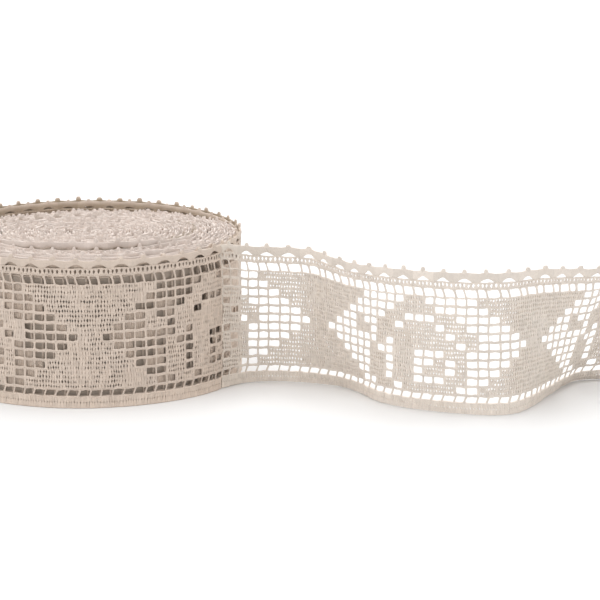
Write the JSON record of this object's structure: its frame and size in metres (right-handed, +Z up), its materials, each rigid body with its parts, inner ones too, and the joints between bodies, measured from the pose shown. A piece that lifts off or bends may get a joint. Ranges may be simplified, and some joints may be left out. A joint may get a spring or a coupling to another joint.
{
  "type": "roll of filet lace trim",
  "caption": "Roll of natural cotton filet lace trim with a picot edge, standing on its straight hem with its loose end drawn out in an S.",
  "frame": {"origin": "on the roll's axis, at the surface that the roll stands on", "axes": "+Z up along the roll's axis, +X towards the loose end, -Y towards the front where the outer turn shows"},
  "size_m": [0.313, 0.1594, 0.0665],
  "materials": {
    "lace": "matt natural cotton"
  },
  "bodies": {
    "root": {"wound_roll": "lace", "loose_end": "lace"}
  },
  "joints": []
}
